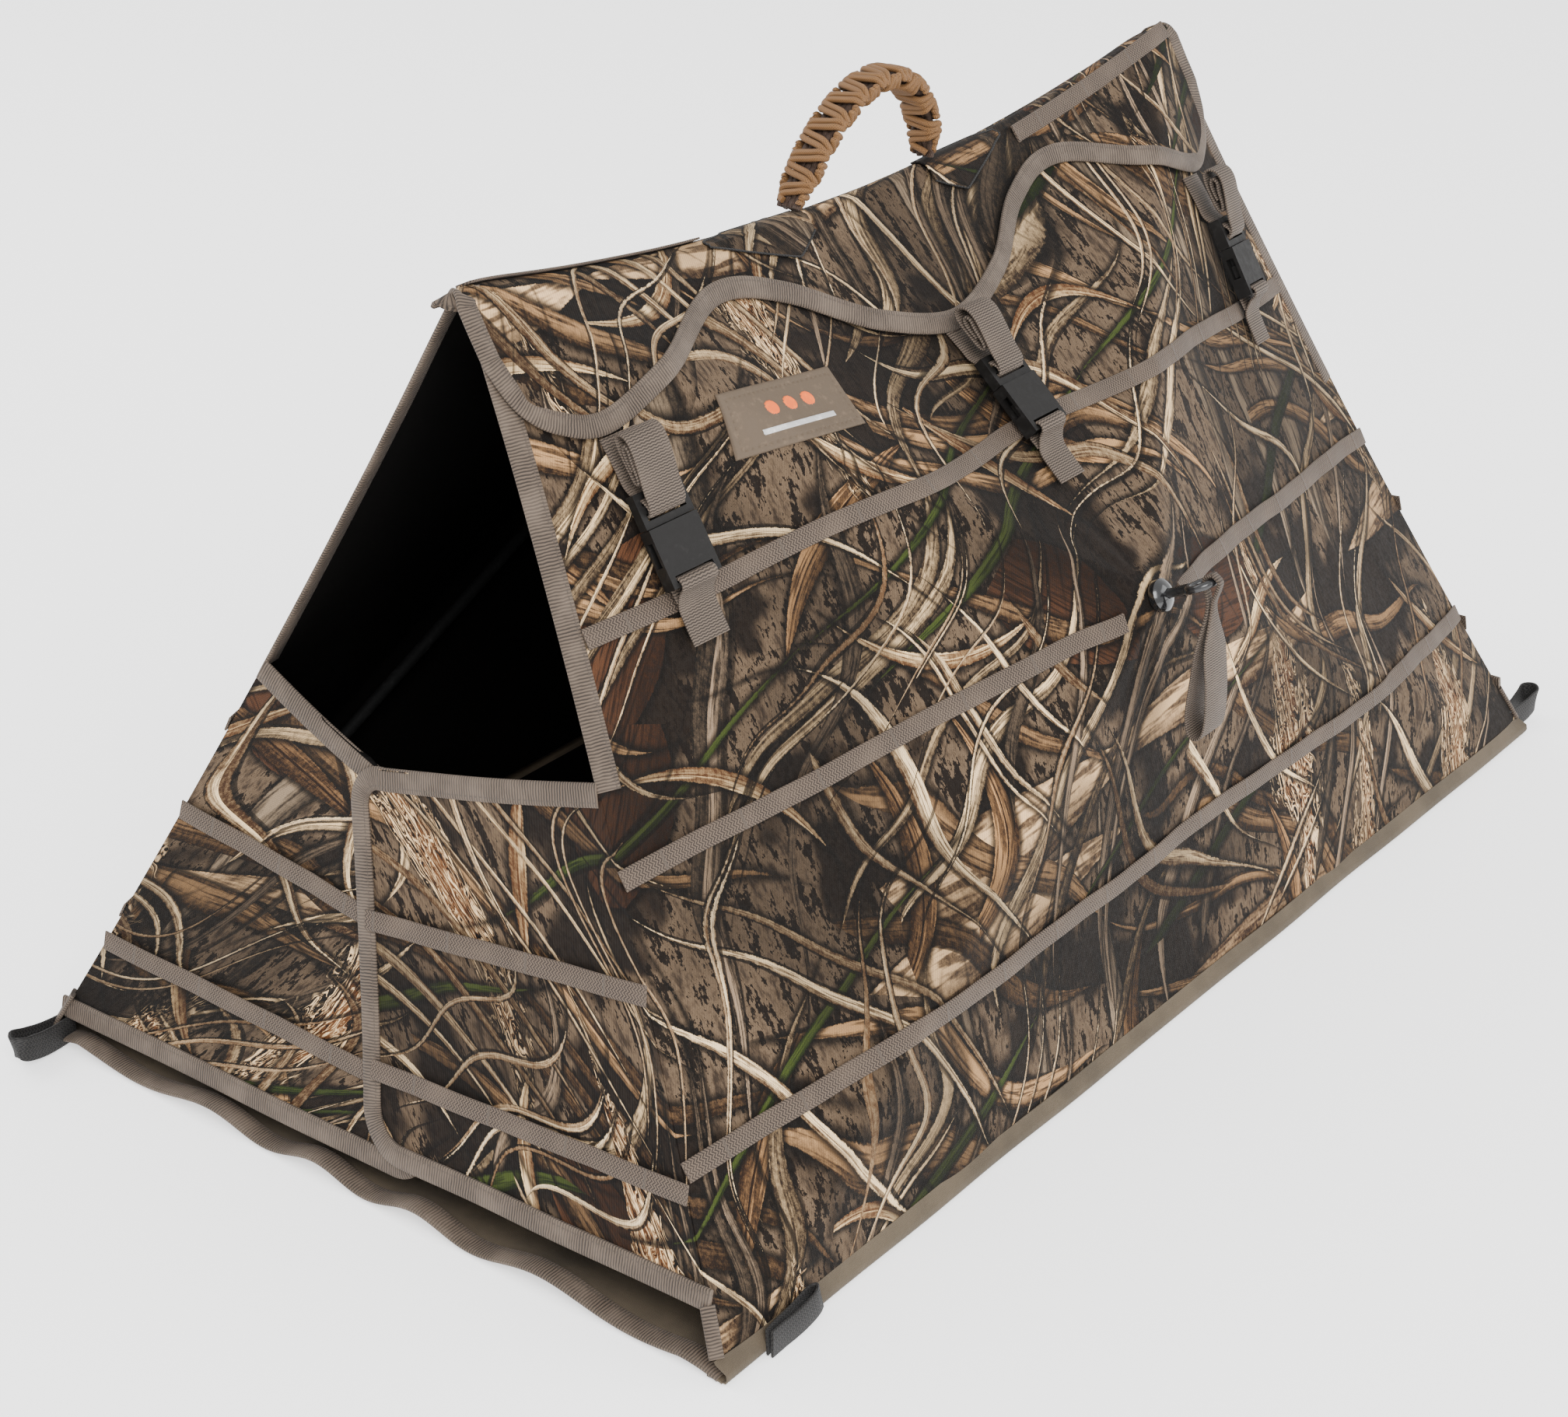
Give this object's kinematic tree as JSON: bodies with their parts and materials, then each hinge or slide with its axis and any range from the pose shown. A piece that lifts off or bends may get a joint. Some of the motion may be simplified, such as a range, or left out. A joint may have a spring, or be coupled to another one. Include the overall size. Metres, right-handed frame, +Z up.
{
  "type": "field blind",
  "caption": "A-frame pop-up camouflage blind for a working dog, with hub-tensioned side panels, buckled roof flap, split end doors and a carry handle.",
  "frame": {"origin": "centre of the underside of the floor sheet, on the ground", "axes": "+X along the ridge, -Y towards the front side with the buckles, +Z up"},
  "size_m": [1.0028, 0.536, 0.5435],
  "materials": {
    "camouflage_fabric": "woven polyester printed with a reed and marsh-grass camouflage",
    "floor_fabric": "olive-brown coated woven polyester",
    "taupe_webbing": "ribbed taupe webbing and binding tape",
    "black_webbing": "black webbing",
    "braided_cord": "tan braided cord over a dark core",
    "patch_rubber": "moulded brown rubber",
    "black_plastic": "moulded black nylon",
    "black_gloss_plastic": "glossy black moulding",
    "pole_tip_plastic": "black moulding",
    "fibreglass_pole": "pultruded glass-fibre rod",
    "black_steel": "black powder-coated steel",
    "zinc_steel": "zinc-plated steel"
  },
  "bodies": {
    "tent_body": {"floor_tray": "floor_fabric", "rear_hub": "black_plastic", "rear_hub_cap": "black_gloss_plastic", "rear_eye_bolt": "black_steel", "rear_hub_fasteners": "zinc_steel", "rear_pole_upper_left": "fibreglass_pole", "rear_pole_upper_right": "fibreglass_pole", "rear_pole_lower_left": "fibreglass_pole", "rear_pole_lower_right": "fibreglass_pole", "rear_pole_tips": "pole_tip_plastic", "rear_corner_pockets": "black_webbing", "rear_panel": "camouflage_fabric", "rear_panel_binding": "taupe_webbing", "rear_stubble_straps": "taupe_webbing", "ridge_stubble_straps": "taupe_webbing", "handle_anchors": "camouflage_fabric", "stake_loops": "black_webbing"},
    "front_panel": {"front_hub": "black_plastic", "front_hub_cap": "black_gloss_plastic", "front_eye_bolt": "black_steel", "front_hub_fasteners": "zinc_steel", "front_pole_upper_left": "fibreglass_pole", "front_pole_upper_right": "fibreglass_pole", "front_pole_lower_left": "fibreglass_pole", "front_pole_lower_right": "fibreglass_pole", "front_pole_tips": "pole_tip_plastic", "front_corner_pockets": "black_webbing", "front_panel": "camouflage_fabric", "front_panel_binding": "taupe_webbing", "front_stubble_straps": "taupe_webbing", "maker_patch": "patch_rubber", "buckle_socket_left": "black_plastic", "buckle_socket_middle": "black_plastic", "buckle_socket_right": "black_plastic", "socket_straps": "taupe_webbing"},
    "roof_flap": {"roof_flap": "camouflage_fabric", "roof_flap_binding": "taupe_webbing"},
    "buckle_plug_left": {"buckle_plug_left": "black_plastic", "buckle_strap_left": "taupe_webbing"},
    "latch_arm_left_inner": {"latch_arm_left_inner": "black_plastic"},
    "latch_arm_left_outer": {"latch_arm_left_outer": "black_plastic"},
    "buckle_plug_middle": {"buckle_plug_middle": "black_plastic", "buckle_strap_middle": "taupe_webbing"},
    "latch_arm_middle_inner": {"latch_arm_middle_inner": "black_plastic"},
    "latch_arm_middle_outer": {"latch_arm_middle_outer": "black_plastic"},
    "buckle_plug_right": {"buckle_plug_right": "black_plastic", "buckle_strap_right": "taupe_webbing"},
    "latch_arm_right_inner": {"latch_arm_right_inner": "black_plastic"},
    "latch_arm_right_outer": {"latch_arm_right_outer": "black_plastic"},
    "left_outer_door": {"left_outer_door": "camouflage_fabric", "left_outer_door_webbing": "taupe_webbing"},
    "left_inner_door": {"left_inner_door": "camouflage_fabric", "left_inner_door_webbing": "taupe_webbing"},
    "right_outer_door": {"right_outer_door": "camouflage_fabric", "right_outer_door_webbing": "taupe_webbing"},
    "right_inner_door": {"right_inner_door": "camouflage_fabric", "right_inner_door_webbing": "taupe_webbing"},
    "carry_handle": {"carry_handle": "braided_cord"},
    "front_pull_strap": {"front_pull_strap": "taupe_webbing"},
    "rear_pull_strap": {"rear_pull_strap": "taupe_webbing"}
  },
  "joints": [
    {"name": "roof_flap_hinge", "type": "hinge", "parent": "tent_body", "child": "roof_flap", "pos_m": [0, -0.005, 0.507], "axis": [-1, 0, 0], "range_deg": [0, 110]},
    {"name": "front_panel_hinge", "type": "hinge", "parent": "tent_body", "child": "front_panel", "pos_m": [0, -0.268, 0], "axis": [1, 0, 0], "range_deg": [0, 88]},
    {"name": "left_buckle_slide", "type": "slide", "parent": "roof_flap", "child": "buckle_plug_left", "axis": [0, 0.5052, 0.863], "range_m": [0, 0.03]},
    {"name": "left_latch_inner", "type": "hinge", "parent": "buckle_plug_left", "child": "latch_arm_left_inner", "pos_m": [-0.30392, -0.09486, 0.38167], "axis": [-0.2087, -0.844, 0.4941], "range_deg": [0, 8], "stiffness_Nm_per_rad": 0.5},
    {"name": "left_latch_outer", "type": "hinge", "parent": "buckle_plug_left", "child": "latch_arm_left_outer", "pos_m": [-0.28358, -0.0986, 0.38387], "axis": [-0.2087, -0.844, 0.4941], "range_deg": [-8, 0], "stiffness_Nm_per_rad": 0.5},
    {"name": "middle_buckle_slide", "type": "slide", "parent": "roof_flap", "child": "buckle_plug_middle", "axis": [0, 0.7354, 0.6776], "range_m": [0, 0.03]},
    {"name": "middle_latch_inner", "type": "hinge", "parent": "buckle_plug_middle", "child": "latch_arm_middle_inner", "pos_m": [-0.0104, -0.11873, 0.37902], "axis": [0, -0.6776, 0.7354], "range_deg": [0, 8], "stiffness_Nm_per_rad": 0.5},
    {"name": "middle_latch_outer", "type": "hinge", "parent": "buckle_plug_middle", "child": "latch_arm_middle_outer", "pos_m": [0.0104, -0.11873, 0.37902], "axis": [0, -0.6776, 0.7354], "range_deg": [-8, 0], "stiffness_Nm_per_rad": 0.5},
    {"name": "right_buckle_slide", "type": "slide", "parent": "roof_flap", "child": "buckle_plug_right", "axis": [0, 0.5052, 0.863], "range_m": [0, 0.03]},
    {"name": "right_latch_inner", "type": "hinge", "parent": "buckle_plug_right", "child": "latch_arm_right_inner", "pos_m": [0.28358, -0.0986, 0.38387], "axis": [0.2087, -0.844, 0.4941], "range_deg": [0, 8], "stiffness_Nm_per_rad": 0.5},
    {"name": "right_latch_outer", "type": "hinge", "parent": "buckle_plug_right", "child": "latch_arm_right_outer", "pos_m": [0.30392, -0.09486, 0.38167], "axis": [0.2087, -0.844, 0.4941], "range_deg": [-8, 0], "stiffness_Nm_per_rad": 0.5},
    {"name": "left_outer_door_hinge", "type": "hinge", "parent": "front_panel", "child": "left_outer_door", "pos_m": [-0.46914, -0.2665, 0.00052], "axis": [0.2096, 0.4548, 0.8656], "range_deg": [0, 110]},
    {"name": "left_inner_door_hinge", "type": "hinge", "parent": "tent_body", "child": "left_inner_door", "pos_m": [-0.46642, 0.2665, -0.00014], "axis": [-0.2096, 0.4548, -0.8656], "range_deg": [-70, 0], "stiffness_Nm_per_rad": 0.15},
    {"name": "right_outer_door_hinge", "type": "hinge", "parent": "front_panel", "child": "right_outer_door", "pos_m": [0.46914, -0.2665, 0.00052], "axis": [0.2096, -0.4548, -0.8656], "range_deg": [0, 110]},
    {"name": "right_inner_door_hinge", "type": "hinge", "parent": "tent_body", "child": "right_inner_door", "pos_m": [0.46642, 0.2665, -0.00014], "axis": [-0.2096, -0.4548, 0.8656], "range_deg": [-70, 0], "stiffness_Nm_per_rad": 0.15},
    {"name": "carry_handle_hinge", "type": "hinge", "parent": "tent_body", "child": "carry_handle", "pos_m": [0, 0, 0.49], "axis": [-1, 0, 0], "range_deg": [-88, 88]},
    {"name": "front_pull_strap_hinge", "type": "hinge", "parent": "front_panel", "child": "front_pull_strap", "pos_m": [0, -0.26264, 0.28751], "axis": [-1, 0, 0], "range_deg": [-8, 140]},
    {"name": "rear_pull_strap_hinge", "type": "hinge", "parent": "tent_body", "child": "rear_pull_strap", "pos_m": [0, 0.26264, 0.28751], "axis": [1, 0, 0], "range_deg": [-8, 140]}
  ],
  "couplings": [
    {"joint": "left_latch_outer", "follows": "left_latch_inner", "ratio": -1},
    {"joint": "middle_latch_outer", "follows": "middle_latch_inner", "ratio": -1},
    {"joint": "right_latch_outer", "follows": "right_latch_inner", "ratio": -1}
  ]
}
